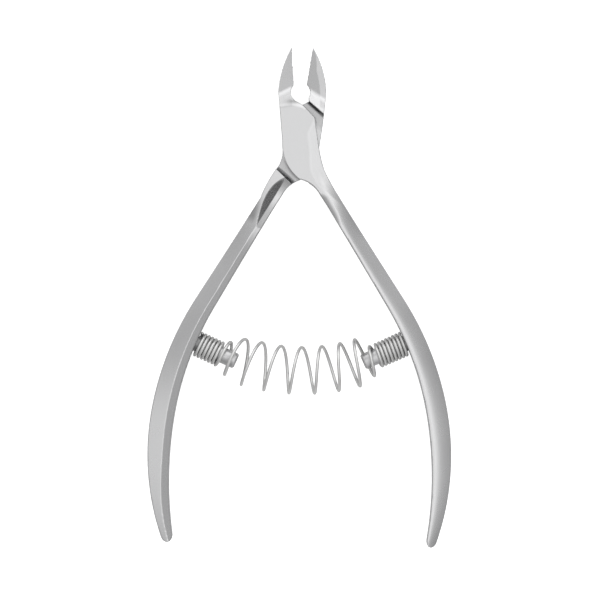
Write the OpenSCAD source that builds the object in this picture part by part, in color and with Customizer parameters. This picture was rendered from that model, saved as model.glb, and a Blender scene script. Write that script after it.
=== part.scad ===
// Cuticle nipper with a lap joint, two bowed handles and a coil return spring.
// It lies flat: +Z is its thickness, +Y points to the cutting tips, and the
// origin is on the pivot axis in the plane it rests on.
// The front lever has the left jaw and the right handle, and the back lever
// the right jaw and the left handle. Lever outlines are given as for a lever
// whose jaw is on the left, and the back lever is mirrored into place.

/* [Joint] */
// Thickness of the tool at the lap joint
joint_t = 7.6; // [7:0.1:8.4]
// Gap between the two lap faces
lap_gap = 0.04; // [0.03:0.01:0.08]
// Distance from the pivot axis to the lap shoulders on the jaw side
jaw_shoulder = 7.3; // [7.2:0.05:7.6]
// Distance from the pivot axis to the lap shoulders on the handle side
handle_shoulder = 7.15; // [7.1:0.05:7.4]
// Diameter of the rivet's shank
rivet_d = 3.6; // [3:0.1:4]
// Diameter of the rivet's head, let into the back lever
rivet_head_d = 5.4; // [4.8:0.1:5.8]
// Height of the rivet's head
rivet_head_t = 1.4; // [1:0.1:1.8]
// Radial clearance between the rivet and the back lever
running_gap = 0.03; // [0.02:0.01:0.08]

/* [Jaws] */
// Distance from the pivot axis to the jaw tips
jaw_reach = 18.6; // [18:0.1:19]
// Angle between the front lever's cutting edge and the long axis
front_edge_lean = 3; // [2.5:0.1:3.5]
// Angle between the back lever's cutting edge and the long axis
back_edge_lean = 9.4; // [9:0.1:9.8]
// Distance that the cutting edges' line passes to the side of the pivot axis
edge_offset = 0.5; // [0.45:0.01:0.55]
// Gap left between the two cutting edges when the jaws are shut
edge_gap = 0.03; // [0.02:0.01:0.06]
// Diameter of the round notch behind the blades
notch_d = 3.9; // [3.5:0.1:4.1]
// Slope of the ground facets down towards the cutting edge, in degrees
facet_slope = 15; // [10:1:20]
// Angle of the relief behind each cutting edge, in degrees
relief_angle = 34; // [28:1:40]

/* [Handles] */
// Greatest width of the front lever's handle
front_handle_w = 4.15; // [3.8:0.05:4.6]
// Greatest width of the back lever's handle
back_handle_w = 4.68; // [4.2:0.05:5]
// Angle of the front handle's straight part from the long axis
front_handle_lean = 31.6; // [31:0.1:33]
// Angle of the back handle's straight part from the long axis
back_handle_lean = 31.9; // [31:0.1:33]
// Length of the handles' straight part, from beside the pivot
handle_straight = 38; // [36:0.5:40]
// Radius of the handles' bowed part, along its middle
handle_bow_r = 61.2; // [58:0.2:64]
// Angle that the front handle's bow turns through
front_bow = 47.4; // [44:0.2:50]
// Angle that the back handle's bow turns through
back_bow = 46.4; // [43:0.2:49]
// Thickness of the handles where the spring posts stand
handle_t = 6.9; // [6:0.1:7]
// Thickness of the handles at their ends
handle_end_t = 4.2; // [3.6:0.1:5]

/* [Spring] */
// Diameter of the spring wire
wire_d = 0.66; // [0.5:0.02:0.7]
// Outer diameter of the close coils on the posts
close_coil_d = 5.2; // [5:0.1:5.6]
// Outer diameter of the open coils between the posts
open_coil_d = 9.9; // [8.5:0.1:10.3]
// Distance between the close coils on the posts
coil_pitch = 0.76; // [0.74:0.01:0.82]
// Diameter of the spring posts
post_d = 3.2; // [2.8:0.1:3.6]
// Length of the spring posts beyond the handle
post_len = 8.9; // [8.4:0.1:9.4]
// Place of the posts along the handle, from beside the pivot
post_at = 46; // [45:0.1:48]

/* [Hidden] */

mid_z = joint_t / 2;
cut = 1;                       // how far cutting solids pass through a surface
arc_points = 10;
facets = 64;

// Where the lap shoulders face: the direction of the line from the pivot axis
// that meets each shoulder square, for a lever whose jaw is on the left.
jaw_shoulder_dir = 131.8;
handle_shoulder_dir = 314;

// Each handle's line: its side-to-side place beside the pivot and its lean, then
// the handle's greatest width and the angle of its bow
ROOT = 0;
LEAN = 1;
WIDTH = 2;
BOW = 3;
front_handle = [-0.6, front_handle_lean, front_handle_w, front_bow];
back_handle = [-1.12, back_handle_lean, back_handle_w, back_bow];

// Outline points of each lever: jaw side, jaw root, flank, waist, lobe, crotch
// start, crotch middle, crotch end; then, after the handle, neck start, neck
// middle, neck end, hip middle, hip end, free edge's outer and inner ends, and
// notch floor.
FRONT = [[-3.48, 14.4], [-4.26, 9.9], [-3.86, 5.2], [-3.44, -0.2], [-2.62, -4.3],
         [-0.1, -7.45], [2.05, -8.3], [4.2, -10.75],
         [7.75, -10.72], [6.35, -8.4], [4.9, -5.5], [4.35, -3.5], [3.95, -1.4],
         [3.05, 4.75], [0.5, 7.42], [-1, 8.25]];
BACK = [[-4.86, 13.6], [-5.36, 9.9], [-4.76, 4.2], [-4.0, -0.8], [-2.7, -4.6],
        [-0.15, -7.5], [1.75, -8.5], [3.6, -10.8],
        [7.55, -10.5], [6.25, -7.9], [4.65, -5.35], [3.72, -3.7], [3.4, -1.4],
        [3.4, 4.5], [-0.5, 7.42], [-1.95, 8.15]];
front_notch = [0.2, 9.9];
back_notch = [-0.2, 9.9];

function mix(a, b, t) = a + (b - a) * t;
function ease(t) = let (c = min(max(t, 0), 1)) c * c * (3 - 2 * c);

// Points of the circular arc from a to b through m, without b itself
function circle_centre(a, m, b) =
    let (p = m - a, q = b - a, d = 2 * (p.x * q.y - p.y * q.x))
    a + [q.y * (p * p) - p.y * (q * q), p.x * (q * q) - q.x * (p * p)] / d;
function arc(a, m, b, n = arc_points) =
    let (c = circle_centre(a, m, b), r = norm(a - c),
         turn = (m.x - a.x) * (b.y - a.y) - (m.y - a.y) * (b.x - a.x) > 0 ? 1 : -1,
         from = atan2(a.y - c.y, a.x - c.x),
         sweep = (turn * (atan2(b.y - c.y, b.x - c.x) - from) + 720) % 360)
    [for (i = [0:n - 1]) c + r * [cos(from + turn * sweep * i / n), sin(from + turn * sweep * i / n)]];

// The handle's middle line: straight away from the pivot, then a circular bow.
// Each gives the value at distance s along the handle h, which runs to the right.
function heading(h, s) = h[LEAN] - max(s - handle_straight, 0) / handle_bow_r * 180 / PI;
function middle(h, s) =
    let (l = min(s, handle_straight), lean = h[LEAN], now = heading(h, s))
    [h[ROOT] + l * sin(lean) + handle_bow_r * (cos(now) - cos(lean)),
     -l * cos(lean) - handle_bow_r * (sin(lean) - sin(now))];
function outward(h, s) = [cos(heading(h, s)), sin(heading(h, s))];
function handle_len(h) = handle_straight + handle_bow_r * h[BOW] * PI / 180;

// Handle width: a slow swell, a taper to the end and a rounded end
widest_at = 62;
root_width = 0.7;              // width near the joint, as a share of the greatest
end_width = 0.44;              // width at the end, as a share of the greatest
end_round = 1.2;
function handle_width(h, s) =
    let (swell = root_width + (1 - root_width) * ease((s - 8) / (widest_at - 8)),
         taper = 1 - (1 - end_width) * pow(max(s - widest_at, 0) / (handle_len(h) - widest_at), 2),
         over = max(s - (handle_len(h) - end_round), 0) / end_round)
    h[WIDTH] * swell * taper * sqrt(max(1 - over * over, 0));
function handle_thick(h, s) =
    s < post_at ? mix(joint_t, handle_t, ease((s - 10) / (post_at - 10)))
                : mix(handle_t, handle_end_t, ease((s - post_at) / (handle_len(h) + 8 - post_at)));

// The handle's two long sides, from the joint to the end
outline_from = 14;
function handle_side(h, side) =
    let (len = handle_len(h),
         steps = concat([for (s = [outline_from:2.5:len - 4]) s],
                        [for (a = [0:15:75]) len - 2 * end_round * (1 - sin(a))]))
    [for (s = steps) middle(h, s) + side * outward(h, s) * handle_width(h, s) / 2];

// Point of a cutting edge that leans by lean, at height y; the edge's line
// passes the pivot axis at the signed distance offset
function edge_at(lean, offset, y) = [offset / cos(lean) - y * tan(lean), y];
tip_land = 0.06;
module outline(p, notch, lean, offset, h) {
    tip = edge_at(lean, offset, jaw_reach) - [tip_land, 0];
    outer = handle_side(h, 1);
    difference() {
        polygon(concat(arc(tip, p[0], p[1]), arc(p[1], p[2], p[3]), arc(p[3], p[4], p[5]),
                       arc(p[5], p[6], p[7]), handle_side(h, -1), [middle(h, handle_len(h))],
                       [for (i = [len(outer) - 1:-1:0]) outer[i]],
                       arc(p[8], p[9], p[10]), arc(p[10], p[11], p[12]), [for (i = [12:15]) p[i]],
                       [edge_at(lean, offset, blade_root), edge_at(lean, offset, jaw_reach)]));
        translate(notch) circle(d = notch_d, $fn = facets);
    }
}

// The envelope that thins the handles: it is clear of the flat joint, and along
// the handle it is a low roof whose ridge is nearer the inner side.
roof_across = [-0.5, -0.17, 0.12, 0.36, 0.5];
roof_height = [0.66, 1, 0.97, 0.8, 0.5];
lowest_roof = 0.06;
roof_start = 1.02;             // height of the roof where it begins, as a share
slab_from = -32;
slab_to = 9;
slab_half = 17;
over_width = 0.8;
function slab_section(h, s) =
    [for (x = [-slab_half, -1, 0, 1, slab_half]) [x, joint_t / 2 + cut]];
function roof_section(h, s) =
    let (k = ease((s - slab_to) / 13), width = handle_width(h, min(s, handle_len(h) - end_round)),
         half = handle_thick(h, s) / 2,
         flare = over_width + 2.4 * (1 - ease((s - slab_to) / 6)),
         fall = [(roof_height[1] - roof_height[0]) / (roof_across[1] - roof_across[0]) / width,
                 (roof_height[3] - roof_height[4]) / (roof_across[4] - roof_across[3]) / width],
         over = [-flare, 0, 0, 0, flare], sunk = [flare * fall[0], 0, 0, 0, flare * fall[1]])
    [for (i = [0:4]) [roof_across[i] * width + over[i],
                      half * max(mix(roof_start, roof_height[i] - sunk[i], k), lowest_roof)]];
function placed(h, s, section) =
    let (m = middle(h, s), n = outward(h, s))
    concat([for (q = section) [m.x + n.x * q[0], m.y + n.y * q[0], mid_z + q[1]]],
           [for (i = [len(section) - 1:-1:0])
                [m.x + n.x * section[i][0], m.y + n.y * section[i][0], mid_z - section[i][1]]]);

// Skin over rings of points, all with the same number of points
module skin(rings) {
    n = len(rings[0]);
    m = len(rings);
    polyhedron(points = [for (r = rings) each r],
               faces = concat([[for (i = [0:n - 1]) i]], [[for (i = [n - 1:-1:0]) (m - 1) * n + i]],
                   [for (j = [0:m - 2], i = [0:n - 1]) [j * n + i, (j + 1) * n + i, j * n + (i + 1) % n]],
                   [for (j = [0:m - 2], i = [0:n - 1])
                        [j * n + (i + 1) % n, (j + 1) * n + i, (j + 1) * n + (i + 1) % n]]));
}
module envelope(h) {
    skin(concat([for (s = [slab_from, slab_to]) placed(h, s, slab_section(h, s))],
                [for (s = [slab_to + 1:3:handle_len(h) - 2]) placed(h, s, roof_section(h, s))],
                [for (s = [0, 1]) placed(h, handle_len(h) + s, roof_section(h, handle_len(h)))]));
}

// The lap recess: the half thickness taken away between the two shoulders, from
// the top when on_top is true and otherwise from underneath
shoulder_half = 15;
function shoulder_end(dir, r, side) =
    r * [cos(dir), sin(dir)] + side * shoulder_half * [-sin(dir), cos(dir)];
module lap_recess(on_top) {
    depth = mid_z + lap_gap / 2 + cut;
    translate([0, 0, on_top ? joint_t + cut - depth : -cut]) linear_extrude(depth)
        polygon([for (side = [1, -1]) shoulder_end(jaw_shoulder_dir, jaw_shoulder, side),
                 for (side = [1, -1]) shoulder_end(handle_shoulder_dir, handle_shoulder, side)]);
}

// What is ground from one jaw: a front facet that falls towards the cutting edge
// and the tip and ends in a round cove, the relief behind the edge, and the back
blade_root = 11.4;
edge_z = 4.7;
edge_drop = 3;                 // fall of the front facet towards the tip, in degrees
back_rise = 9;                 // rise of the jaw's back towards the tip, in degrees
back_from = 7.4;
cove_r = 3.2;
tool = 14;
module jaw_cuts(lean, offset) {
    rotate([0, 0, lean]) translate([offset, blade_root, edge_z]) {
        intersection() {
            rotate([-edge_drop, 0, 0]) rotate([0, facet_slope, 0])
                translate([-tool, -tool, 0]) cube(2 * tool);
            union() {
                translate([-tool, 0, cove_r]) rotate([0, 90, 0])
                    cylinder(r = cove_r, h = 2 * tool, $fn = facets);
                translate([-tool, 0, -tool]) cube(2 * tool);
            }
        }
        rotate([-edge_drop, 0, 0]) rotate([0, relief_angle, 0])
            translate([0, -1.2, -tool]) cube([tool, tool + 1.2, 2 * tool]);
    }
    translate([0, back_from, 0]) rotate([back_rise, 0, 0]) translate([-tool, 0, -tool])
        cube([2 * tool, tool, tool]);
}

// Blind seat for a spring post's tenon, and the post's frame: +Z out of the
// handle's inner face, along the post
tenon_d = 2;
tenon_len = 1.4;
function post_face(h) = middle(h, post_at) - outward(h, post_at) * handle_width(h, post_at) / 2;
module at_post(h) {
    translate([post_face(h).x, post_face(h).y, mid_z]) rotate([0, 0, heading(h, post_at)])
        rotate([0, -90, 0]) children();
}

// A lever whose jaw is on the left; its children are cut out of it
module lever(p, notch, lean, offset, h, lap_on_top) {
    intersection() {
        difference() {
            linear_extrude(joint_t) outline(p, notch, lean, offset, h);
            lap_recess(lap_on_top);
            jaw_cuts(lean, offset);
            at_post(h) translate([0, 0, -tenon_len])
                cylinder(d = tenon_d, h = tenon_len + cut, $fn = facets);
            children();
        }
        envelope(h);
    }
}

module front_lever() {
    color("silver")
        lever(FRONT, front_notch, front_edge_lean, -edge_offset - edge_gap / 2, front_handle, false)
            translate([0, 0, -cut]) cylinder(d = rivet_d, h = joint_t + 2 * cut, $fn = facets);
}
module back_lever() {
    color("gainsboro") mirror([1, 0, 0])
        lever(BACK, back_notch, back_edge_lean, edge_offset - edge_gap / 2, back_handle, true) {
            translate([0, 0, -cut])
                cylinder(d = rivet_d + 2 * running_gap, h = joint_t, $fn = facets);
            translate([0, 0, -cut])
                cylinder(d = rivet_head_d + 2 * running_gap, h = rivet_head_t + cut, $fn = facets);
        }
}
module pivot_rivet() {
    head_clear = 0.04;
    chamfer = 0.2;
    color("lightgray") rotate_extrude($fn = facets)
        polygon([[0, 0], [rivet_head_d / 2 - chamfer, 0], [rivet_head_d / 2, chamfer],
                 [rivet_head_d / 2, rivet_head_t - head_clear], [rivet_d / 2, rivet_head_t - head_clear],
                 [rivet_d / 2, joint_t], [0, joint_t]]);
}
module post() {
    chamfer = 0.35;
    seat = 0.01;
    rotate_extrude($fn = facets)
        polygon([[0, seat - tenon_len], [tenon_d / 2 - seat, seat - tenon_len], [tenon_d / 2 - seat, seat],
                 [post_d / 2, seat], [post_d / 2, post_len - chamfer],
                 [post_d / 2 - chamfer, post_len], [0, post_len]]);
}
module front_spring_post() {
    color("darkgray") at_post(front_handle) post();
}
module back_spring_post() {
    color("darkgray") mirror([1, 0, 0]) at_post(back_handle) post();
}

// The spring: close left-handed coils on the back lever's post, open coils that
// sag between the posts, and close coils on the front lever's post
back_turns = 6.5;
open_turns = 9;
front_turns = 7.5;
steps_per_turn = 14;
wire_sides = 8;
first_coil = wire_d / 2 + 0.06;   // distance of the first coil from the handle
back_face = [-post_face(back_handle).x, post_face(back_handle).y];
front_face = post_face(front_handle);
back_dir = [outward(back_handle, post_at).x, -outward(back_handle, post_at).y];
front_dir = -outward(front_handle, post_at);
open_start = back_face + back_dir * (first_coil + back_turns * coil_pitch);
open_end = front_face + front_dir * (first_coil + front_turns * coil_pitch);
back_follow = 11.6;            // how far the open coils go on in the back post's direction
front_follow = 10;             // and in the front post's
all_turns = back_turns + open_turns + front_turns;

// Middle line of the coils and its direction, t turns from the back lever
function bezier(a, b, c, d, t) =
    a * pow(1 - t, 3) + 3 * b * pow(1 - t, 2) * t + 3 * c * (1 - t) * t * t + d * t * t * t;
// The open coils are wider apart in the middle than near the posts
function spread(part) = mix(part, ease(part), 0.55);
function coil_middle(t) =
    t < back_turns ? back_face + back_dir * (first_coil + t * coil_pitch)
    : t > back_turns + open_turns
        ? front_face + front_dir * (first_coil + (all_turns - t) * coil_pitch)
    : bezier(open_start, open_start + back_dir * back_follow, open_end + front_dir * front_follow, open_end,
             spread((t - back_turns) / open_turns));
function coil_dir(t) =
    let (d = coil_middle(t + 0.05) - coil_middle(t - 0.05)) d / norm(d);
function coil_radius(t) =
    let (small = (close_coil_d - wire_d) / 2, large = (open_coil_d - wire_d) / 2)
    mix(small, large, ease((t - back_turns + 0.3) / 2.3) * ease((back_turns + open_turns - t - 0.4) / 1.15));
// The open coils are wider than the joint is thick, so they ride up a little on
// the surface that the tool lies on
coil_clear = 0.05;
function coil_lift(t) =
    max(open_coil_d / 2 + coil_clear - mid_z, 0)
    * ease((t - back_turns) / 2) * ease((back_turns + open_turns - t) / 2);
// The open coils lean: the upper half of each is nearer to the back lever. They
// also stand a little higher than the posts' directions alone would give. Both
// fade away towards the front lever
coil_lean = 0.8;
coil_rise = 0.35;
function open_part(t) =
    ease((t - back_turns) / 1.5) * ease((back_turns + open_turns - t) / 1.5)
    * (1 - 0.8 * ease((t - back_turns) / open_turns));
function wire_at(t) =
    let (m = coil_middle(t), d = coil_dir(t), a = 360 * t,
         across = coil_radius(t) * cos(a), shift = coil_lean * open_part(t) * sin(a))
    [m.x - d.y * across + d.x * shift,
     m.y + coil_rise * open_part(t) + d.x * across + d.y * shift,
     mid_z + coil_lift(t) - coil_radius(t) * sin(a)];
function unit(v) = v / norm(v);
function wire_ring(t) =
    let (p = wire_at(t), along = unit(wire_at(t + 0.01) - wire_at(t - 0.01)),
         side = unit(cross(along, [coil_dir(t).x, coil_dir(t).y, 0])), up = cross(side, along))
    [for (i = [0:wire_sides - 1])
        p + (side * cos(360 * i / wire_sides) + up * sin(360 * i / wire_sides)) * wire_d / 2];
module return_spring() {
    color("gray") skin([for (i = [0:all_turns * steps_per_turn]) wire_ring(i / steps_per_turn)]);
}

front_lever();
back_lever();
pivot_rivet();
front_spring_post();
back_spring_post();
return_spring();
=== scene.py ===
"""Looks of a cuticle nipper: two forged and ground levers, a rivet, two spring
posts and a coil return spring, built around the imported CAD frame."""
import math

import bpy
import numpy as np
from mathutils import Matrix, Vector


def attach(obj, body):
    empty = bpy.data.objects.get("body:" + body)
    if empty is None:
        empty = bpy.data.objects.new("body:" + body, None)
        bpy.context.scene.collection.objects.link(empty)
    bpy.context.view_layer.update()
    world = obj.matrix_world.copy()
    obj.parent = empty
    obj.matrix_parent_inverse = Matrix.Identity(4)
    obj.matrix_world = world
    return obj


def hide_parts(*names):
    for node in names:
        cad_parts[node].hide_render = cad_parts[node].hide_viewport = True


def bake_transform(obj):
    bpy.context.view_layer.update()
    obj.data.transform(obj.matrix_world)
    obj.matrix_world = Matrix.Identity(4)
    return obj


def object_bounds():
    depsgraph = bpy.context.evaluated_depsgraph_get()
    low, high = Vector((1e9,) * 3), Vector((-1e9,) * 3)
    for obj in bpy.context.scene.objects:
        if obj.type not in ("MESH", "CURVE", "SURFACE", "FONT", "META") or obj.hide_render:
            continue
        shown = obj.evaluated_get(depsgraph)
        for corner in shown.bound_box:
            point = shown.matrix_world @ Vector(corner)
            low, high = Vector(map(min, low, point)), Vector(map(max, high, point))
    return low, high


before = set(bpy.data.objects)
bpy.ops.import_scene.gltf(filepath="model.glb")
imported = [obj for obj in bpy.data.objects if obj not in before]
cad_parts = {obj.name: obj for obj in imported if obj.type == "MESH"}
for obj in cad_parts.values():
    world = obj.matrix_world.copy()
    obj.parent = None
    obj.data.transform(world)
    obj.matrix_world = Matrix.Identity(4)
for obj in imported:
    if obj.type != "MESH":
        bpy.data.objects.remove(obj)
cad_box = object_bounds()

MM = 0.001

# ---------------------------------------------------------------- driving sizes, in mm
# The lap joint and its rivet
JOINT_T = 7.6
MID_Z = JOINT_T / 2
LAP_GAP = 0.04
JAW_SHOULDER, JAW_SHOULDER_DIR = 7.3, math.radians(131.8)
HANDLE_SHOULDER, HANDLE_SHOULDER_DIR = 7.15, math.radians(314)
LAP_JAW_FILLET, LAP_HANDLE_FILLET = 0.8, 1.1
RIVET_R, HEAD_R, HEAD_T, RUNNING_GAP = 1.8, 2.7, 1.4, 0.03
HEAD_SPARE, HEAD_GAP, RIVET_ROUND = 0.02, 0.04, 0.12
# The boss is plain, so steel this thick covers the rivet's front end
RIVET_COVER = 0.6
# Radius of the flat middle of a turned end
CAP_R = 0.4

# The jaws
JAW_REACH = 18.6
BLADE_ROOT = 11.4
EDGE_Z = 4.7
EDGE_DROP = math.radians(3)
FACET_SLOPE = math.radians(15)
RELIEF = math.radians(34)
# The last of these is a painted highlight that brightens the colour in the coves
COVE_RUN, COVE_SLOPE, COVE_SLANT, COVE_PAINTED_GLEAM = 1.3, 0.78, 0.45, 0.04
COVE_FROM, COVE_LIMIT, NO_CUT = 0.6, 5, 20
BEVEL_W, BEVEL_FALL, BEVEL_END, BEVEL_FADE = 1.25, 0.2, 0.4, 4
BACK_FROM, BACK_RISE, BACK_START_LEAN = 7.4, math.radians(9), 0.158
RELIEF_FROM = 1.2
NOTCH_R = 1.95
# The surface mesh rounds sharp tips short, so the outline runs on by this much
TIP_SPARE, TIP_INSET = 0.42, 0.06

# The handles, with distances along them from beside the pivot
STRAIGHT, BOW_R = 38.0, 61.2
WIDEST_AT, ROOT_WIDTH, END_WIDTH, END_ROUND = 62.0, 0.7, 0.44, 1.2
SWELL_FROM, THIN_FROM, THIN_PAST = 8, 10, 8
SIDES_FROM, SIDES_STOP = 14, 4
POST_AT = 46.0
HANDLE_T, HANDLE_END_T = 6.9, 4.2

# Outline points, as for a lever whose jaw is on the left: jaw side, jaw root,
# flank, waist, lobe, crotch start, middle and end; then, after the handle, neck
# start, middle and end, hip middle and end, free edge outer and inner, notch floor
FRONT = dict(
    points=[(-3.48, 14.4), (-4.26, 9.9), (-3.86, 5.2), (-3.44, -0.2), (-2.62, -4.3),
            (-0.1, -7.45), (2.05, -8.3), (4.2, -10.75), (7.75, -10.72), (6.35, -8.4),
            (4.9, -5.5), (4.35, -3.5), (3.95, -1.4), (3.05, 4.75), (0.5, 7.42), (-1, 8.25)],
    notch=(0.2, 9.9), edge_lean=3.0, edge_offset=-0.515,
    root=-0.6, lean=31.6, width=4.15, bow=47.4, shoulder_side=-1)
BACK = dict(
    points=[(-4.86, 13.6), (-5.36, 9.9), (-4.76, 4.2), (-4.0, -0.8), (-2.7, -4.6),
            (-0.15, -7.5), (1.75, -8.5), (3.6, -10.8), (7.55, -10.5), (6.25, -7.9),
            (4.65, -5.35), (3.72, -3.7), (3.4, -1.4), (3.4, 4.5), (-0.5, 7.42), (-1.95, 8.15)],
    notch=(-0.2, 9.9), edge_lean=9.4, edge_offset=0.485,
    root=-1.12, lean=31.9, width=4.68, bow=46.4, shoulder_side=1)


# ---------------------------------------------------------------- small maths
def ease(t):
    c = np.clip(t, 0, 1)
    return c * c * (3 - 2 * c)


def mix(a, b, t):
    return a + (b - a) * t


def smax(a, b, k):
    """The larger of two, with a blend k wide where they cross."""
    h = np.maximum(k - np.abs(a - b), 0)
    return np.maximum(a, b) + h * h / (4 * k)


def smin(a, b, k):
    return -smax(-a, -b, k)


def arc(a, m, b, n=20):
    """Points of the circular arc from a to b through m, without b."""
    cx, cy, r = circle_through(a, m, b)
    turn = 1 if (m[0] - a[0]) * (b[1] - a[1]) - (m[1] - a[1]) * (b[0] - a[0]) > 0 else -1
    start = math.atan2(a[1] - cy, a[0] - cx)
    sweep = (turn * (math.atan2(b[1] - cy, b[0] - cx) - start)) % (2 * math.pi)
    angles = [start + turn * sweep * i / n for i in range(n)]
    return [(cx + r * math.cos(t), cy + r * math.sin(t)) for t in angles]


def circle_through(a, m, b):
    px, py, qx, qy = m[0] - a[0], m[1] - a[1], b[0] - a[0], b[1] - a[1]
    d = 2 * (px * qy - py * qx)
    ux = (qy * (px * px + py * py) - py * (qx * qx + qy * qy)) / d
    uy = (px * (qx * qx + qy * qy) - qx * (px * px + py * py)) / d
    return a[0] + ux, a[1] + uy, math.hypot(ux, uy)


# ---------------------------------------------------------------- the handle's line
def middle(lv, s):
    lean = math.radians(lv["lean"])
    now = lean - max(s - STRAIGHT, 0) / BOW_R
    run = min(s, STRAIGHT)
    return (lv["root"] + run * math.sin(lean) + BOW_R * (math.cos(now) - math.cos(lean)),
            -run * math.cos(lean) - BOW_R * (math.sin(lean) - math.sin(now)))


def outward(lv, s):
    now = math.radians(lv["lean"]) - max(s - STRAIGHT, 0) / BOW_R
    return math.cos(now), math.sin(now)


def handle_len(lv):
    return STRAIGHT + BOW_R * math.radians(lv["bow"])


def handle_width(lv, s):
    swell = ROOT_WIDTH + (1 - ROOT_WIDTH) * ease((s - SWELL_FROM) / (WIDEST_AT - SWELL_FROM))
    past = np.maximum(s - WIDEST_AT, 0) / (handle_len(lv) - WIDEST_AT)
    over = np.clip((s - (handle_len(lv) - END_ROUND)) / END_ROUND, 0, 1)
    return lv["width"] * swell * (1 - (1 - END_WIDTH) * past ** 2) * np.sqrt(1 - over * over)


def handle_thick(lv, s):
    near = mix(JOINT_T, HANDLE_T, ease((s - THIN_FROM) / (POST_AT - THIN_FROM)))
    far = mix(HANDLE_T, HANDLE_END_T,
              ease((s - POST_AT) / (handle_len(lv) + THIN_PAST - POST_AT)))
    return np.where(s < POST_AT, near, far)


def along_handle(lv, x, y):
    """Distance along the handle's middle line, and from it to the outer side."""
    lean = math.radians(lv["lean"])
    sn, cs = math.sin(lean), math.cos(lean)
    s = (x - lv["root"]) * sn - y * cs
    d = (x - lv["root"]) * cs + y * sn
    cx, cy = lv["root"] + STRAIGHT * sn - BOW_R * cs, -STRAIGHT * cs - BOW_R * sn
    bowed = s > STRAIGHT
    s = np.where(bowed, STRAIGHT + BOW_R * (lean - np.arctan2(y - cy, x - cx)), s)
    return s, np.where(bowed, np.hypot(x - cx, y - cy) - BOW_R, d)


# The right flank of the boss, for the flat ground along it
FLANK_Y = (-14.0, -10.72, -8.4, -5.5, -3.5, -1.4, 4.75)
FLANK_X = (9.75, 7.75, 6.35, 4.9, 4.35, 3.95, 3.05)


def outline(lv):
    """The lever's outline as a closed polygon."""
    p = lv["points"]
    lean = math.radians(lv["edge_lean"])
    edge = [(lv["edge_offset"] / math.cos(lean) - y * math.tan(lean), y)
            for y in (BLADE_ROOT, JAW_REACH)]
    tip = (edge[1][0] - TIP_INSET, JAW_REACH + TIP_SPARE)
    length = handle_len(lv)
    steps = list(np.arange(SIDES_FROM, length - SIDES_STOP, 1.0))
    steps += [length - 2 * END_ROUND * (1 - math.sin(math.radians(a)))
              for a in range(0, 90, 10)]
    sides = []
    for side in (-1, 1):
        for s in steps:
            m, n, w = middle(lv, s), outward(lv, s), float(handle_width(lv, s)) / 2
            sides.append((m[0] + side * n[0] * w, m[1] + side * n[1] * w))
    inner, outer = sides[:len(steps)], sides[len(steps):]
    return (arc(tip, p[0], p[1]) + arc(p[1], p[2], p[3]) + arc(p[3], p[4], p[5])
            + arc(p[5], p[6], p[7]) + inner + [middle(lv, length)] + outer[::-1]
            + arc(p[8], p[9], p[10]) + arc(p[10], p[11], p[12]) + list(p[12:16]) + edge)


def outline_distance(poly, x, y):
    """Signed distance to a closed polygon, negative inside."""
    best = np.full(x.shape, 1e9, np.float32)
    inside = np.zeros(x.shape, bool)
    for (ax, ay), (bx, by) in zip(poly, poly[1:] + poly[:1]):
        ex, ey = bx - ax, by - ay
        if ex * ex + ey * ey < 1e-12:
            continue
        wx, wy = x - ax, y - ay
        t = np.clip((wx * ex + wy * ey) / (ex * ex + ey * ey), 0, 1)
        best = np.minimum(best, (wx - ex * t) ** 2 + (wy - ey * t) ** 2)
        if ay != by:
            crosses = ((ay > y) != (by > y)) & (wx < ex * wy / ey)
            inside ^= crosses
    return np.where(inside, -1, 1) * np.sqrt(best)


# ---------------------------------------------------------------- the lever's faces
CREASE_SLOPE, SCOOP_SLOPE, RIDGE_SLOPE, STRIP_SLOPE = (
    math.tan(math.radians(a)) for a in (25, 46, 36, 9))
# Where the joint's flat face turns into the handle's roof
ROOF_FROM, CREASED_ROOF_RUN, RIDGED_ROOF_RUN = 9, 21, 15
# The crease's place across the handle, and how it shifts near the handle's end
CREASE_AT, CREASE_SHIFT, SHIFT_FROM, SHIFT_RUN = 0.32, 0.16, 68, 16
# How far the roof falls towards the outer side, near the joint and further out
RIDGE_LEVEL, ACROSS_LIMIT, FALL_FROM = 0.1, 1.2, 40
CREASED_FALL, CREASED_FALL_RUN, CREASED_CURVE = (0.36, 0.12), 25, 1.05
RIDGED_FALL, RIDGED_FALL_RUN, RIDGED_CURVE = (0.42, 0.37), 20, 1.6
SCOOP_W, SCOOP_FROM, SCOOP_TO, SCOOP_SKEW = 1.6, 8.0, 19.5, 0.75
STRIP_ENDS, CREASE_RUN, FACET_FROM, FACET_RUN = 17, 9, 6.5, 1.5
RIDGE_LIFT, RIDGE_FROM, RIDGE_RUN, RIDGE_FADES, RIDGE_FADE_RUN = 0.25, 7, 6, 16, 10
FLANK_FROM_Y, FLANK_RUN, FLANK_SQUARE = -14, 6, 0.93
FLANK_W, FLANK_W_FROM, FLANK_W_RUN = 1.7, 5, 4
FLANK_MORE, FLANK_MORE_FROM, FLANK_MORE_RUN = 0.9, -1, 6
# Height above any face, where a facet does not cut
CLEAR = MID_Z + 3
# Widths of the blends where faces meet
CREASE_BLEND, RIDGE_BLEND, FLANK_BLEND, JAW_BLEND, TAPER_BLEND = 0.06, 0.45, 0.05, 0.5, 0.1
EDGE_BLEND, LAP_BLEND, BORE_BLEND = 0.04, 0.1, 0.02
JAW_ROUND, HANDLE_ROUND, ROUND_FROM, ROUND_RUN = 0.12, 0.18, 12, 14
BLADE_FROM_Y, BLADE_ROUND = 8.4, 0.45


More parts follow.
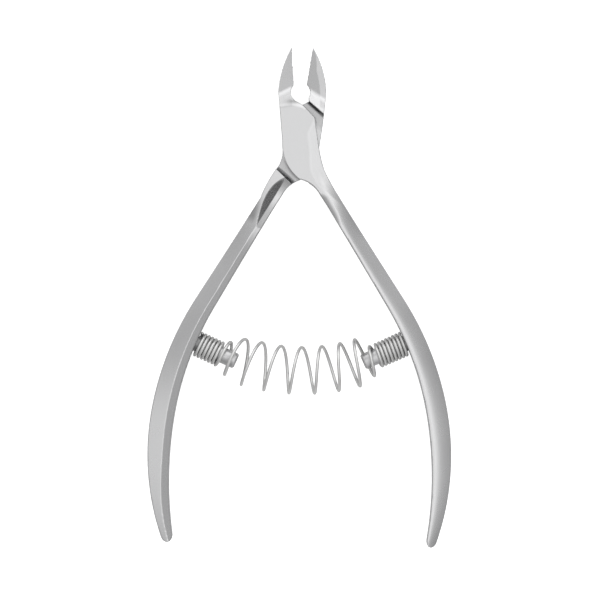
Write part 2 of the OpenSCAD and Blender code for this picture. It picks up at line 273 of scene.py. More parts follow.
def half_thickness(lv, x, y, s, d, shoulder):
    """Height of one broad face over the middle plane. The shoulder face has a
    crease along the handle and a scoop beside the joint; the other has a soft ridge."""
    width = handle_width(lv, np.minimum(s, handle_len(lv) - END_ROUND))
    inset = d + width / 2
    half = handle_thick(lv, s) / 2
    near = ease((s - ROOF_FROM) / (CREASED_ROOF_RUN if shoulder else RIDGED_ROOF_RUN))
    crease_at = CREASE_AT + CREASE_SHIFT * ease((s - SHIFT_FROM) / SHIFT_RUN)
    level = crease_at if shoulder else RIDGE_LEVEL
    across = np.clip((inset / width - level) / (1 - level), 0, ACROSS_LIMIT)
    if shoulder:
        fall = mix(*CREASED_FALL, ease((s - FALL_FROM) / CREASED_FALL_RUN))
        fall = fall * across ** CREASED_CURVE
    else:
        fall = mix(*RIDGED_FALL, ease((s - FALL_FROM) / RIDGED_FALL_RUN))
        fall = fall * across ** RIDGED_CURVE
    roof = mix(MID_Z, half * (1 - fall), near)
    crease = width * crease_at
    if shoulder:
        along = np.clip((s - SCOOP_FROM) / (SCOOP_TO - SCOOP_FROM), 0, 1) ** SCOOP_SKEW
        drop = SCOOP_W * SCOOP_SLOPE * np.sin(math.pi * along)
        inner_slope = mix(STRIP_SLOPE, CREASE_SLOPE, ease((s - STRIP_ENDS) / CREASE_RUN))
        low = roof - drop
        facet = np.where(inset < crease, low - (crease - inset) * inner_slope,
                         low + (inset - crease) * SCOOP_SLOPE)
        facet = mix(CLEAR, facet, ease((s - FACET_FROM) / FACET_RUN))
        return smin(roof, facet, CREASE_BLEND)
    facet = roof + RIDGE_LIFT - (crease - inset) * RIDGE_SLOPE
    ridge = ease((s - RIDGE_FROM) / RIDGE_RUN) * (1 - ease((s - RIDGE_FADES) / RIDGE_FADE_RUN))
    top = smin(roof, mix(CLEAR, facet, ridge), RIDGE_BLEND)
    strip = (FLANK_W * ease((FLANK_W_FROM - y) / FLANK_W_RUN)
             + FLANK_MORE * ease((FLANK_MORE_FROM - y) / FLANK_MORE_RUN))
    strip = strip * ease((y - FLANK_FROM_Y) / FLANK_RUN)
    flank = (np.interp(y, FLANK_Y, FLANK_X) - x) * FLANK_SQUARE
    ground = np.where(y > FLANK_FROM_Y, roof - (strip - flank) * STRIP_SLOPE, CLEAR)
    return smin(top, ground, FLANK_BLEND)


def edge_place(lv, x, y):
    """Distance from the cutting edge's line, and along it from the blade's root."""
    lean = math.radians(lv["edge_lean"])
    return (x * math.cos(lean) + y * math.sin(lean) - lv["edge_offset"],
            -x * math.sin(lean) + y * math.cos(lean) - BLADE_ROOT * math.cos(lean))


def cove_run(qx, qy):
    """Distance back from the facet's root into the cove, which slants across the jaw."""
    return -qy - COVE_SLANT * np.clip(-qx - COVE_FROM, 0, 4)


def jaw_side(x, y):
    """Distance past the lap shoulder beside the jaw."""
    return x * math.cos(JAW_SHOULDER_DIR) + y * math.sin(JAW_SHOULDER_DIR) - JAW_SHOULDER


def handle_side(x, y):
    """Distance past the lap shoulder beside the handle."""
    return x * math.cos(HANDLE_SHOULDER_DIR) + y * math.sin(HANDLE_SHOULDER_DIR) - HANDLE_SHOULDER


def lever_value(lv, x, y, z, to_outline):
    """Negative inside the lever, zero on its surface."""
    s, d = along_handle(lv, x, y)
    handle = ease((s - ROUND_FROM) / ROUND_RUN) * (y < 0)
    notch_x, notch_y = lv["notch"]
    to_outline = np.maximum(to_outline, NOTCH_R - np.hypot(x - notch_x, y - notch_y))
    round_k = mix(JAW_ROUND, HANDLE_ROUND, handle) * np.where(y > BLADE_FROM_Y, BLADE_ROUND, 1)
    shoulder_up = lv["shoulder_side"] > 0
    top = half_thickness(lv, x, y, s, d, shoulder_up)
    bottom = half_thickness(lv, x, y, s, d, not shoulder_up)

    # the jaw's ground facet and cove, in the cutting edge's own direction
    qx, qy = edge_place(lv, x, y)
    facet = EDGE_Z - qx * math.tan(FACET_SLOPE) - qy * math.tan(EDGE_DROP)
    run = np.maximum(cove_run(qx, qy), 0)
    cove = np.where(run < COVE_RUN, run * run * COVE_SLOPE / 2 / COVE_RUN,
                    (run - COVE_RUN / 2) * COVE_SLOPE)
    jaw_top = np.where(run < COVE_LIMIT, facet + cove, NO_CUT)
    if shoulder_up:
        bevel_x, bevel_y, bevel_r = lv["jaw_circle"]
        rim = (BEVEL_W * np.clip((JAW_REACH - BEVEL_END - y) / BEVEL_FADE, 0, 1)
               - (bevel_r - np.hypot(x - bevel_x, y - bevel_y)))
        jaw_top = np.where(run < COVE_LIMIT, jaw_top - np.maximum(rim, 0) * BEVEL_FALL, jaw_top)
    top = smin(top, jaw_top - MID_Z, JAW_BLEND)

    value = smax(to_outline, z - MID_Z - top, round_k)
    value = smax(value, MID_Z - z - bottom, round_k)

    # the relief behind the cutting edge, and the back's taper to the tip
    rise = qy * math.sin(EDGE_DROP) + (z - EDGE_Z) * math.cos(EDGE_DROP)
    relief = qx * math.cos(RELIEF) - rise * math.sin(RELIEF)
    value = smax(value, np.minimum(relief, qy + RELIEF_FROM), EDGE_BLEND)
    taper_z = -(y - BACK_FROM) * math.sin(BACK_RISE) + z * math.cos(BACK_RISE)
    value = smax(value, np.minimum(-taper_z, y - BACK_FROM + z * BACK_START_LEAN), TAPER_BLEND)

    # the lap recess between the shoulders, with small fillets in its corners
    lap_z = MID_Z - lv["shoulder_side"] * LAP_GAP / 2
    depth = lv["shoulder_side"] * (lap_z - z)
    recess = smax(depth, jaw_side(x, y), LAP_JAW_FILLET)
    recess = smax(recess, handle_side(x, y), LAP_HANDLE_FILLET)
    value = smax(value, -recess, LAP_BLEND)
    from_axis = np.hypot(x, y)
    if shoulder_up:
        value = smax(value, -(from_axis - RIVET_R - RUNNING_GAP), BORE_BLEND)
        seat = np.maximum(from_axis - HEAD_R - RUNNING_GAP, z - HEAD_T)
        value = smax(value, -seat, LAP_BLEND)
    else:
        bore = np.maximum(from_axis - RIVET_R, z - JOINT_T + RIVET_COVER)
        value = smax(value, -bore, BORE_BLEND)
    return value


# ---------------------------------------------------------------- surface of a value field
def surface_net(value, axes):
    """Quads over the zero surface of a grid of values, and their corner points."""
    inside = value < 0
    cells = tuple(n - 1 for n in value.shape)
    count = np.zeros(cells, np.int8)
    corners = [(i, j, k) for i in (0, 1) for j in (0, 1) for k in (0, 1)]
    for i, j, k in corners:
        count += inside[i:cells[0] + i, j:cells[1] + j, k:cells[2] + k]
    where = np.argwhere((count > 0) & (count < 8))
    ident = np.full(cells, -1, np.int64)
    ident[tuple(where.T)] = np.arange(len(where))
    total = np.zeros((len(where), 3))
    hits = np.zeros(len(where))
    for axis in range(3):
        for corner in corners:
            if corner[axis]:
                continue
            a = where + corner
            b = a.copy()
            b[:, axis] += 1
            va, vb = value[tuple(a.T)], value[tuple(b.T)]
            cross = (va < 0) != (vb < 0)
            t = np.where(cross, va / np.where(cross, va - vb, 1), 0)
            point = np.stack([axes[n][a[:, n]] for n in range(3)], 1)
            point[:, axis] += t * (axes[axis][b[:, axis]] - axes[axis][a[:, axis]])
            total += np.where(cross[:, None], point, 0)
            hits += cross
    quads = []
    for axis in range(3):
        u, v = [n for n in range(3) if n != axis]
        a = [slice(None)] * 3
        b = [slice(None)] * 3
        a[axis], b[axis] = slice(0, -1), slice(1, None)
        here, there = inside[tuple(a)], inside[tuple(b)]
        spots = np.argwhere(here != there)
        rising = here[tuple(spots.T)]
        ring = []
        for du, dv in ((-1, -1), (0, -1), (0, 0), (-1, 0)):
            c = spots.copy()
            c[:, u] += du
            c[:, v] += dv
            ring.append(ident[tuple(c.T)])
        ring = np.stack(ring, 1)
        flip = rising if axis == 1 else ~rising
        ring[flip] = ring[flip][:, ::-1]
        quads.append(ring)
    return total / hits[:, None], np.concatenate(quads)


def stations(low, split, high, first, second):
    """Grid stations from low to high, closer together on one side of split."""
    near = np.linspace(low, split, max(int(abs(split - low) / first), 1) + 1)
    far = np.linspace(split, high, max(int((high - split) / second), 1) + 1)
    return np.concatenate([near, far[1:]])


# Where the grid's spacing changes, and how much wider its coarser stations are
SPLIT_X, SPLIT_Y = 8, -16
COARSE_X, COARSE_Y, COARSE_Z = 1.7, 2.6, 1.2
# How the mesh settles onto the zero surface
SLOPE_STEP, SETTLE_STEPS, SETTLE_LIMIT = 0.02, 3, 0.4
FINE = 0.12


def lever_mesh(name, lv, mirrored):
    """A lever's mesh: a surface net, settled onto the zero surface, with the
    field's own slope as its normals."""
    poly = outline(lv)
    lv["jaw_circle"] = circle_through(poly[0], lv["points"][0], lv["points"][1])
    px, py = [p[0] for p in poly], [p[1] for p in poly]
    margin = 3 * FINE
    axes = [stations(min(px) - margin, SPLIT_X, max(px) + margin, FINE, COARSE_X * FINE),
            stations(min(py) - margin, SPLIT_Y, max(py) + margin, COARSE_Y * FINE, FINE),
            stations(-margin, MID_Z, JOINT_T + margin, COARSE_Z * FINE, COARSE_Z * FINE)]
    flat_x, flat_y = np.meshgrid(axes[0], axes[1], indexing="ij")
    flat = outline_distance(poly, flat_x, flat_y)
    value = np.stack([lever_value(lv, flat_x, flat_y, z, flat) for z in axes[2]], 2)
    points, quads = surface_net(value, axes)

    def at(p):
        i = np.clip(np.searchsorted(axes[0], p[:, 0]) - 1, 0, len(axes[0]) - 2)
        j = np.clip(np.searchsorted(axes[1], p[:, 1]) - 1, 0, len(axes[1]) - 2)
        fx = (p[:, 0] - axes[0][i]) / (axes[0][i + 1] - axes[0][i])
        fy = (p[:, 1] - axes[1][j]) / (axes[1][j + 1] - axes[1][j])
        d = mix(mix(flat[i, j], flat[i + 1, j], fx),
                mix(flat[i, j + 1], flat[i + 1, j + 1], fx), fy)
        return lever_value(lv, p[:, 0], p[:, 1], p[:, 2], d)

    def slope(p, e=SLOPE_STEP):
        shift = np.eye(3) * e
        return np.stack([(at(p + shift[i]) - at(p - shift[i])) / (2 * e) for i in range(3)], 1)

    for _ in range(SETTLE_STEPS):
        g = slope(points)
        move = (at(points) / np.maximum((g * g).sum(1), 0.05))[:, None] * g
        length = np.linalg.norm(move, axis=1, keepdims=True)
        points = points - move * np.minimum(1, SETTLE_LIMIT * FINE / np.maximum(length, 1e-9))
    normals = slope(points)
    normals /= np.maximum(np.linalg.norm(normals, axis=1, keepdims=True), 1e-9)
    x, y, z = points.T
    s, d = along_handle(lv, x, y)
    grain = np.stack([np.where(y < 0, s, -y), d, z], 1)
    # Painted shade and painted highlights, kept with the mesh as a factor on its colour
    painted_light = lever_painted_light(lv, x, y, z, s, d)
    if mirrored:
        points, normals = points * (-1, 1, 1), normals * (-1, 1, 1)
        quads = quads[:, ::-1]
    piece = make_mesh(name, points, quads.tolist(), grain, painted_light)
    piece.data.normals_split_custom_set_from_vertices(normals.tolist())
    return piece


# Places and strengths of the painted shade and painted highlights on the levers, set by comparing
# greys:
# painted shade in the lap's corners, the scoop and under the front lever's cove, painted highlights
# in the coves and on the neck
TONE_UP, COVE_START, COVE_TONE_RUN, COVE_STOP, COVE_TONE_FADE = 0.3, 0.1, 1.2, 3.4, 1.5
LAP_HIGH, LAP_HIGH_RUN, LAP_REACH, LAP_REACH_RUN = 3.2, 0.8, 3.2, 1.2
LAP_PAINTED_SHADE, WALL_PAINTED_SHADE, WALL_REACH, BOSS_PAINTED_SHADE, BOSS_REACH = 0.2, 0.06, 0.6, 0.26, 0.45
SCOOP_PAINTED_SHADE, SCOOP_TONE_FROM, SCOOP_TONE_RUN = 0.42, 8.2, 1.2
SCOOP_TONE_PAST, SCOOP_TONE_FADE, CREASE_SPARE, CREASE_TONE_RUN = 0.4, 2, 0.05, 0.12
SCOOP_DEPTH, SCOOP_DEPTH_RUN = 0.12, 0.25
BOSS_SPARE, LAP_SPARE = 0.3, 0.1
UNDER_COVE_PAINTED_SHADE, UNDER_COVE, UNDER_COVE_W, UNDER_COVE_H = 0.42, (-1.3, 8.0), 1.2, 0.55
NECK_PAINTED_HIGHLIGHT, NECK, NECK_SLANT, NECK_W, NECK_H = 0.16, (5.1, -9.2), 0.45, 0.55, 1.9


def lever_painted_light(lv, x, y, z, s, d):
    """A factor on the steel's colour that paints light and shade into it: painted shade in the
    lap's corners, in the scoop and under the front lever's cove, and painted highlights in the
    coves and on the front lever's neck."""
    painted_light = np.ones(len(x))
    run = cove_run(*edge_place(lv, x, y))
    upper = z > MID_Z + TONE_UP
    # Painted highlight in the coves of the upper face
    painted_light += (COVE_PAINTED_GLEAM * upper * ease((run + COVE_START) / COVE_TONE_RUN)
             * ease((COVE_STOP - run) / COVE_TONE_FADE))
    if lv["shoulder_side"] > 0:
        # Painted shade in the lap's corners, along the shoulder walls and the front lever's boss
        # edge at rest
        wall = np.minimum(np.abs(jaw_side(x, y)), np.abs(handle_side(x, y)))
        in_lap = (ease((MID_Z + LAP_HIGH - z) / LAP_HIGH_RUN)
                  * (np.maximum(jaw_side(x, y), handle_side(x, y)) < LAP_SPARE))
        boss = outline_distance(outline(FRONT), -x, y)
        between = (boss > -BOSS_SPARE) * in_lap * ease((LAP_REACH - wall) / LAP_REACH_RUN)
        painted_light -= between * (LAP_PAINTED_SHADE + WALL_PAINTED_SHADE * ease((WALL_REACH - wall) / WALL_REACH)
                           + BOSS_PAINTED_SHADE * ease((BOSS_REACH - boss) / BOSS_REACH))
        # Painted shade in the scoop beside the joint
        inset = d + handle_width(lv, s) / 2
        crease = handle_width(lv, s) * CREASE_AT
        deep = (ease((s - SCOOP_TONE_FROM) / SCOOP_TONE_RUN)
                * ease((SCOOP_TO + SCOOP_TONE_PAST - s) / SCOOP_TONE_FADE)
                * ease((inset - crease + CREASE_SPARE) / CREASE_TONE_RUN))
        scoop_z = MID_Z + half_thickness(lv, x, y, s, d, True)
        roof_z = MID_Z + mix(MID_Z, handle_thick(lv, s) / 2,
                             ease((s - ROOF_FROM) / CREASED_ROOF_RUN))
        shade = ease((roof_z - scoop_z - SCOOP_DEPTH) / SCOOP_DEPTH_RUN)
        painted_light -= SCOOP_PAINTED_SHADE * deep * shade * (z > MID_Z)
    else:
        # Painted shade under the front lever's cove
        painted_light -= (UNDER_COVE_PAINTED_SHADE * upper
                 * np.exp(-((x - UNDER_COVE[0]) / UNDER_COVE_W) ** 2
                          - ((y - UNDER_COVE[1]) / UNDER_COVE_H) ** 2))
        # Painted highlight on the front lever's neck
        painted_light += (NECK_PAINTED_HIGHLIGHT * upper
                 * np.exp(-((x - NECK[0] + NECK_SLANT * (y - NECK[1])) / NECK_W) ** 2
                          - ((y - NECK[1]) / NECK_H) ** 2))
    return painted_light


def make_mesh(name, points, faces, grain, painted_light=None):
    """A smooth-shaded object from points in mm. The first part of grain runs along
    its length, and tone is the factor on its colour, which carries painted shade and painted
    highlights."""
    mesh = bpy.data.meshes.new(name)
    mesh.from_pydata((np.asarray(points) * MM).tolist(), [], faces)
    mesh.shade_smooth()
    stored = mesh.attributes.new("grain", "FLOAT_VECTOR", "POINT")
    stored.data.foreach_set("vector", np.asarray(grain, np.float32).ravel())
    # The colour factor holds painted shade and painted highlights
    shade = mesh.attributes.new("painted_light", "FLOAT", "POINT")
    if painted_light is None:
        painted_light = np.ones(len(points))
    shade.data.foreach_set("value", painted_light.astype(np.float32))
    mesh.update()
    piece = bpy.data.objects.new(name, mesh)
    bpy.context.scene.collection.objects.link(piece)
    return piece


# ---------------------------------------------------------------- turned pieces and the spring
# Painted shade on a post inside the coils, as a factor on its colour, and the height over which it
# fades out
POST_PAINTED_SHADE, DIM_RUN = 0.45, 0.3


def lathe(name, profile, origin, axis, dim_below=None, segments=96):
    """A turned piece: profile points are (radius, height) along axis, in mm. Below
    dim_below its colour carries painted shade, where the coils shade it."""
    axis = np.array(axis, float) / np.linalg.norm(axis)
    side = np.cross(axis, (0, 0, 1) if abs(axis[2]) < 0.9 else (1, 0, 0))
    side /= np.linalg.norm(side)
    up = np.cross(axis, side)
    points, grain, faces = [], [], []
    for r, h in profile:
        for i in range(segments):
            a = 2 * math.pi * i / segments
            points.append(np.array(origin) + axis * h
                          + (side * math.cos(a) + up * math.sin(a)) * r)
            grain.append((r * 0.2, h + r, 0))
    for j in range(len(profile) - 1):
        for i in range(segments):
            n = (i + 1) % segments
            faces.append((j * segments + i, j * segments + n,
                          (j + 1) * segments + n, (j + 1) * segments + i))
    faces.append(tuple(range(segments))[::-1])
    faces.append(tuple((len(profile) - 1) * segments + i for i in range(segments)))
    height = np.repeat([h for _, h in profile], segments)
    painted_light = None
    if dim_below is not None:
        # Painted shade inside the coils
        painted_light = POST_PAINTED_SHADE + (1 - POST_PAINTED_SHADE) * ease((height - dim_below) / DIM_RUN)
    return make_mesh(name, points, faces, grain, painted_light)


def rounded(corners, r, n=4):
    """Profile points with each inner corner replaced by a small arc."""
    out = [corners[0]]
    for a, b, c in zip(corners, corners[1:], corners[2:]):
        a, b, c = map(np.array, (a, b, c))
        ta, tc = (a - b) / np.linalg.norm(a - b), (c - b) / np.linalg.norm(c - b)
        for i in range(n + 1):
            t = i / n
            out.append(tuple((b + ta * r) * (1 - t) ** 2 + b * 2 * t * (1 - t)
                             + (b + tc * r) * t * t))
    return out + [corners[-1]]


WIRE_R = 0.33
CLOSE_R, OPEN_R = 2.6 - WIRE_R, 4.95 - WIRE_R
POST_LEN, POST_R = 8.9, 1.6
BACK_TURNS, OPEN_TURNS, FRONT_TURNS = 6.5, 9, 7.5
COIL_PITCH, FIRST_COIL, COIL_CLEAR = 0.76, 0.39, 0.05
BACK_FOLLOW, FRONT_FOLLOW, COIL_LEAN, COIL_RISE = 11.6, 10, 0.8, 0.35
TOTAL_TURNS = BACK_TURNS + OPEN_TURNS + FRONT_TURNS
# How uneven the open coils' spacing is, and over how many turns they widen and narrow
SPREAD, WIDEN_EARLY, WIDEN_RUN, NARROW_EARLY, NARROW_RUN = 0.55, 0.3, 2.3, 0.4, 1.15
# Over how many turns they rise and lean, and how much of the lean is lost along them
LIFT_RUN, LEAN_RUN, LEAN_LOSS = 2, 1.5, 0.8


def post_place(lv, mirrored):
    """Where a spring post leaves its handle, and its direction."""
    m, n = np.array(middle(lv, POST_AT)), np.array(outward(lv, POST_AT))
    face = m - n * float(handle_width(lv, POST_AT)) / 2
    flip = np.array((-1, 1) if mirrored else (1, 1))
    return face * flip, -n * flip


def spring_lines(t):
    """The wire's line at t turns and the coils' direction there, worked out from the middle of the
    coils.
    """
    back_face, back_dir = post_place(BACK, True)
    front_face, front_dir = post_place(FRONT, False)
    a = back_face + back_dir * (FIRST_COIL + BACK_TURNS * COIL_PITCH)
    b = front_face + front_dir * (FIRST_COIL + FRONT_TURNS * COIL_PITCH)

    def coil_middle(turns):
        part = np.clip((turns - BACK_TURNS) / OPEN_TURNS, 0, 1)
        u = mix(part, ease(part), SPREAD)[:, None]
        turns = turns[:, None]
        free = (a * (1 - u) ** 3 + 3 * (a + back_dir * BACK_FOLLOW) * (1 - u) ** 2 * u
                + 3 * (b + front_dir * FRONT_FOLLOW) * (1 - u) * u * u + b * u ** 3)
        near = back_face + back_dir * (FIRST_COIL + turns * COIL_PITCH)
        far = front_face + front_dir * (FIRST_COIL + (TOTAL_TURNS - turns) * COIL_PITCH)
        return np.where(turns < BACK_TURNS, near,
                        np.where(turns > BACK_TURNS + OPEN_TURNS, far, free))

    m = coil_middle(t)
    d = coil_middle(t + 0.05) - coil_middle(t - 0.05)
    d /= np.linalg.norm(d, axis=1, keepdims=True)
    wide = (ease((t - BACK_TURNS + WIDEN_EARLY) / WIDEN_RUN)
            * ease((BACK_TURNS + OPEN_TURNS - t - NARROW_EARLY) / NARROW_RUN))
    r = mix(CLOSE_R, OPEN_R, wide)
    lift = ((OPEN_R + WIRE_R + COIL_CLEAR - MID_Z) * ease((t - BACK_TURNS) / LIFT_RUN)
            * ease((BACK_TURNS + OPEN_TURNS - t) / LIFT_RUN))
    angle = 2 * math.pi * t
    free = ease((t - BACK_TURNS) / LEAN_RUN) * ease((BACK_TURNS + OPEN_TURNS - t) / LEAN_RUN)
    free *= 1 - LEAN_LOSS * ease((t - BACK_TURNS) / OPEN_TURNS)
    across, shift = r * np.cos(angle), COIL_LEAN * free * np.sin(angle)
    wire = np.stack([m[:, 0] - d[:, 1] * across + d[:, 0] * shift,
                     m[:, 1] + COIL_RISE * free + d[:, 0] * across + d[:, 1] * shift,
                     MID_Z + lift - r * np.sin(angle)], 1)
    return wire, d


def spring_mesh(name, steps=44, sides=14):
    """The wire as a tube, with so many rings a turn and points a ring."""
    t = np.linspace(0, TOTAL_TURNS, int(TOTAL_TURNS * steps) + 1)
    wire, d = spring_lines(t)
    along = spring_lines(t + 0.004)[0] - spring_lines(t - 0.004)[0]
    along /= np.linalg.norm(along, axis=1, keepdims=True)
    side = np.cross(along, np.concatenate([d, np.zeros((len(t), 1))], 1))
    side /= np.linalg.norm(side, axis=1, keepdims=True)
    up = np.cross(side, along)
    a = np.linspace(0, 2 * math.pi, sides, endpoint=False)
    length = np.concatenate([[0], np.cumsum(np.linalg.norm(np.diff(wire, axis=0), axis=1))])
    around = side[:, None] * np.cos(a)[:, None] + up[:, None] * np.sin(a)[:, None]
    points = (wire[:, None] + WIRE_R * around).reshape(-1, 3)
    grain = np.stack([np.repeat(length, sides), np.tile(a * WIRE_R, len(t)),
                      np.zeros(len(points))], 1)
    faces = []
    for j in range(len(t) - 1):
        for i in range(sides):
            n = (i + 1) % sides
            faces.append((j * sides + n, j * sides + i,
                          (j + 1) * sides + i, (j + 1) * sides + n))
    faces.append(tuple(range(sides)))
    faces.append(tuple((len(t) - 1) * sides + i for i in range(sides))[::-1])
    return make_mesh(name, points, faces, grain)


# ---------------------------------------------------------------- materials
def steel(name, colour, rough, brush_depth, along_scale, across_scale, mottle):
    """Ground or turned stainless steel: a fine brushed grain that follows the
    piece, soft mottling of colour and gloss, and painted shade and painted highlights stored with
    the mesh."""
    mat = bpy.data.materials.new(name)
    mat.use_nodes = True
    nodes, links = mat.node_tree.nodes, mat.node_tree.links
    shader = nodes["Principled BSDF"]
    shader.inputs["Metallic"].default_value = 1.0
    shader.inputs["IOR"].default_value = 2.5
    grain = nodes.new("ShaderNodeAttribute")
    grain.attribute_name = "grain"
    coords = nodes.new("ShaderNodeTexCoord")

    stretch = nodes.new("ShaderNodeMapping")
    stretch.inputs["Scale"].default_value = (along_scale, across_scale, 0.3 * across_scale)
    links.new(grain.outputs["Vector"], stretch.inputs["Vector"])
    brush = nodes.new("ShaderNodeTexNoise")
    brush.inputs["Scale"].default_value = 1.0
    brush.inputs["Detail"].default_value = 5.0
    brush.inputs["Roughness"].default_value = 0.65
    links.new(stretch.outputs["Vector"], brush.inputs["Vector"])

    cloud = nodes.new("ShaderNodeTexNoise")
    cloud.inputs["Scale"].default_value = 160.0
    cloud.inputs["Detail"].default_value = 4.0
    links.new(coords.outputs["Object"], cloud.inputs["Vector"])

    mottled = nodes.new("ShaderNodeMix")
    mottled.data_type = "RGBA"
    links.new(cloud.outputs["Fac"], mottled.inputs["Factor"])
    mottled.inputs["A"].default_value = tuple(c * (1 - mottle) for c in colour) + (1,)
    mottled.inputs["B"].default_value = tuple(min(c * (1 + mottle), 1) for c in colour) + (1,)

    fine = nodes.new("ShaderNodeMapRange")
    fine.inputs["To Min"].default_value = 0.97
    fine.inputs["To Max"].default_value = 1.03
    links.new(brush.outputs["Fac"], fine.inputs["Value"])
    # The stored colour factor paints shade and highlights into the colour
    stored = nodes.new("ShaderNodeAttribute")
    stored.attribute_name = "painted_light"
    grain_and_painted_light = nodes.new("ShaderNodeMath")
    grain_and_painted_light.operation = "MULTIPLY"
    links.new(fine.outputs["Result"], grain_and_painted_light.inputs[0])
    links.new(stored.outputs["Fac"], grain_and_painted_light.inputs[1])
    tinted = nodes.new("ShaderNodeVectorMath")
    tinted.operation = "SCALE"
    links.new(mottled.outputs["Result"], tinted.inputs[0])
    links.new(grain_and_painted_light.outputs["Value"], tinted.inputs["Scale"])
    links.new(tinted.outputs["Vector"], shader.inputs["Base Color"])

    gloss = nodes.new("ShaderNodeMapRange")
    gloss.inputs["To Min"].default_value = rough * 0.82
    gloss.inputs["To Max"].default_value = rough * 1.2
    links.new(cloud.outputs["Fac"], gloss.inputs["Value"])
    links.new(gloss.outputs["Result"], shader.inputs["Roughness"])

    bump = nodes.new("ShaderNodeBump")
    bump.inputs["Strength"].default_value = brush_depth
    bump.inputs["Distance"].default_value = 0.00002
    links.new(brush.outputs["Fac"], bump.inputs["Height"])
    links.new(bump.outputs["Normal"], shader.inputs["Normal"])
    return mat


def dress(piece, material):
    piece.data.materials.clear()
    piece.data.materials.append(material)


# ---------------------------------------------------------------- the pieces
# Colour, roughness, brush depth, grain scale along and across, mottling
satin = steel("satin_steel", (0.60, 0.60, 0.605), 0.26, 0.25, 0.35, 14, 0.02)
turned = steel("turned_steel", (0.58, 0.58, 0.585), 0.3, 0.35, 30, 9, 0.03)
wire_steel = steel("spring_wire", (0.76, 0.76, 0.755), 0.4, 0.3, 0.5, 8, 0.04)

front = lever_mesh("front_lever_forging", FRONT, False)
dress(front, satin)
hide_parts("front_lever")
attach(front, "front")

back = lever_mesh("back_lever_forging", BACK, True)
dress(back, satin)
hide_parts("back_lever")
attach(back, "back")

rivet_profile = rounded([(CAP_R, 0.0), (HEAD_R - HEAD_SPARE, 0.0),
                         (HEAD_R - HEAD_SPARE, HEAD_T - HEAD_GAP), (RIVET_R, HEAD_T - HEAD_GAP),
                         (RIVET_R, JOINT_T - RIVET_COVER), (CAP_R, JOINT_T - RIVET_COVER)],
                        RIVET_ROUND)
rivet = lathe("pivot_rivet_turned", rivet_profile, (0, 0, 0), (0, 0, 1))
dress(rivet, turned)
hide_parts("pivot_rivet")
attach(rivet, "front")

TENON_R, TENON_END, TENON_TOP, SHANK_FROM = 1.0, -1.2, -0.9, -0.85
POST_CHAMFER, POST_ROUND, FRONT_POST_MORE = 0.3, 0.14, 0.5
POSTS = ((FRONT, False, "front", FRONT_TURNS, FRONT_POST_MORE), (BACK, True, "back", BACK_TURNS, 0))
for lever_data, mirrored, body, turns, more in POSTS:
    spot, way = post_place(lever_data, mirrored)
    coils_end = turns * COIL_PITCH + FIRST_COIL
    reach = POST_LEN + more
    profile = rounded([(CAP_R, TENON_END), (TENON_R, TENON_END), (TENON_R, TENON_TOP),
                       (POST_R, SHANK_FROM), (POST_R, coils_end - DIM_RUN), (POST_R, coils_end),
                       (POST_R, reach - POST_CHAMFER), (POST_R - POST_CHAMFER, reach),
                       (CAP_R, reach)], POST_ROUND)
    # The post's colour carries painted shade below the end of its coils
    post = lathe(body + "_post_turned", profile, (spot[0], spot[1], MID_Z),
                 (way[0], way[1], 0), coils_end - DIM_RUN)
    dress(post, turned)
    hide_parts(body + "_spring_post")
    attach(post, body)

spring = spring_mesh("return_spring_wire")
dress(spring, wire_steel)
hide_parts("return_spring")
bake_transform(spring)

# ---------------------------------------------------------------- floor, light and camera
# In metres from here on
FLOOR_SIZE, FLOOR_DROP = 2.0, 0.00002
bpy.ops.mesh.primitive_plane_add(size=FLOOR_SIZE, location=(0, 0, cad_box[0][2] - FLOOR_DROP))
floor = bpy.context.object
floor.name = "floor"
paint = bpy.data.materials.new("pale_floor")
paint.use_nodes = True
paint_shader = paint.node_tree.nodes["Principled BSDF"]
paint_shader.inputs["Roughness"].default_value = 0.9
paint_shader.inputs["Specular IOR Level"].default_value = 0.1
paint_shader.inputs["Emission Color"].default_value = (1, 1, 1, 1)
# The floor looks paler than the light that it throws back onto the steel
floor_seen = paint.node_tree.nodes.new("ShaderNodeLightPath")
for socket, darker, paler in (("Base Color", (0.8, 0.8, 0.8, 1), (0.85, 0.85, 0.85, 1)),
                              ("Emission Strength", 0.0, 0.8)):
    pick = paint.node_tree.nodes.new("ShaderNodeMix")
    pick.data_type = "RGBA" if socket == "Base Color" else "FLOAT"
    paint.node_tree.links.new(floor_seen.outputs["Is Camera Ray"], pick.inputs["Factor"])
    ends = [n for n in pick.inputs if n.enabled and n.name in "AB"]
    ends[0].default_value, ends[1].default_value = darker, paler
    result = [n for n in pick.outputs if n.enabled][0]
    paint.node_tree.links.new(result, paint_shader.inputs[socket])
floor.data.materials.append(paint)


def grey_ramp(nodes, stops):
    """A colour ramp of greys, from (position, grey) pairs."""
    ramp = nodes.new("ShaderNodeValToRGB")
    while len(ramp.color_ramp.elements) < len(stops):
        ramp.color_ramp.elements.new(0.5)
    for element, (position, grey) in zip(ramp.color_ramp.elements, stops):
        element.position = position
        element.color = (grey, grey, grey, 1)
    return ramp


DOME_STOPS = ((0.0, 0.32), (0.15, 0.38), (0.40, 0.44), (0.72, 0.56), (0.88, 0.70), (0.985, 1.03))
SIDE_STOPS = ((0.0, 0.14), (0.25, 0.0), (0.42, 0.07), (0.53, 0.12), (0.60, 0.46), (0.66, 0.46),
              (0.75, 0.05), (1.0, 0.0))


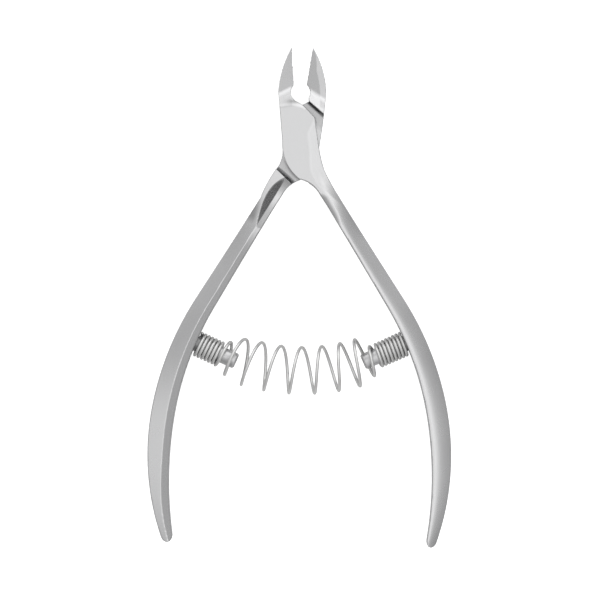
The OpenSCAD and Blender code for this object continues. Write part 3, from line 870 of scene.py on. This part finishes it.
def studio_world():
    """A soft dome, brightest overhead and dim at the horizon, with a pale band a
    little to the right and a wide gleam beyond the tips. The camera sees plain pale."""
    world = bpy.data.worlds.new("soft_dome")
    bpy.context.scene.world = world
    world.use_nodes = True
    nodes, links = world.node_tree.nodes, world.node_tree.links
    background = nodes["Background"]
    coords = nodes.new("ShaderNodeTexCoord")
    parts = nodes.new("ShaderNodeSeparateXYZ")
    links.new(coords.outputs["Generated"], parts.inputs["Vector"])
    height = grey_ramp(nodes, DOME_STOPS)
    links.new(parts.outputs["Z"], height.inputs["Fac"])
    half = nodes.new("ShaderNodeMapRange")
    half.inputs["From Min"].default_value = -1.0
    links.new(parts.outputs["X"], half.inputs["Value"])
    side = grey_ramp(nodes, SIDE_STOPS)
    links.new(half.outputs["Result"], side.inputs["Fac"])
    ahead = nodes.new("ShaderNodeMapRange")
    ahead.interpolation_type = "SMOOTHSTEP"
    ahead.inputs["From Min"].default_value = 0.3
    ahead.inputs["From Max"].default_value = 0.85
    ahead.inputs["To Max"].default_value = 0.75
    links.new(parts.outputs["Y"], ahead.inputs["Value"])
    total = nodes.new("ShaderNodeMath")
    links.new(side.outputs["Color"], total.inputs[0])
    links.new(ahead.outputs["Result"], total.inputs[1])
    lit = nodes.new("ShaderNodeVectorMath")
    links.new(height.outputs["Color"], lit.inputs[0])
    links.new(total.outputs["Value"], lit.inputs[1])
    seen = nodes.new("ShaderNodeLightPath")
    pale = nodes.new("ShaderNodeMix")
    pale.data_type = "RGBA"
    links.new(seen.outputs["Is Camera Ray"], pale.inputs["Factor"])
    links.new(lit.outputs["Vector"], pale.inputs["A"])
    pale.inputs["B"].default_value = (0.96, 0.96, 0.96, 1)
    links.new(pale.outputs["Result"], background.inputs["Color"])


studio_world()

# Width of the view at the height that the camera is set for
VIEW_W, VIEW_Z = 119.4 * MM, 0.0045
VIEW_MID = (-0.2 * MM, -30.8 * MM)
FAR, SENSOR = 0.9, 36
camera = bpy.data.objects.new("camera", bpy.data.cameras.new("camera"))
bpy.context.scene.collection.objects.link(camera)
camera.location = (*VIEW_MID, FAR)
camera.data.sensor_width = SENSOR
camera.data.lens = SENSOR * (FAR - VIEW_Z) / VIEW_W
camera.data.clip_start = 0.01
bpy.context.scene.camera = camera
bpy.context.scene.view_settings.view_transform = "Standard"
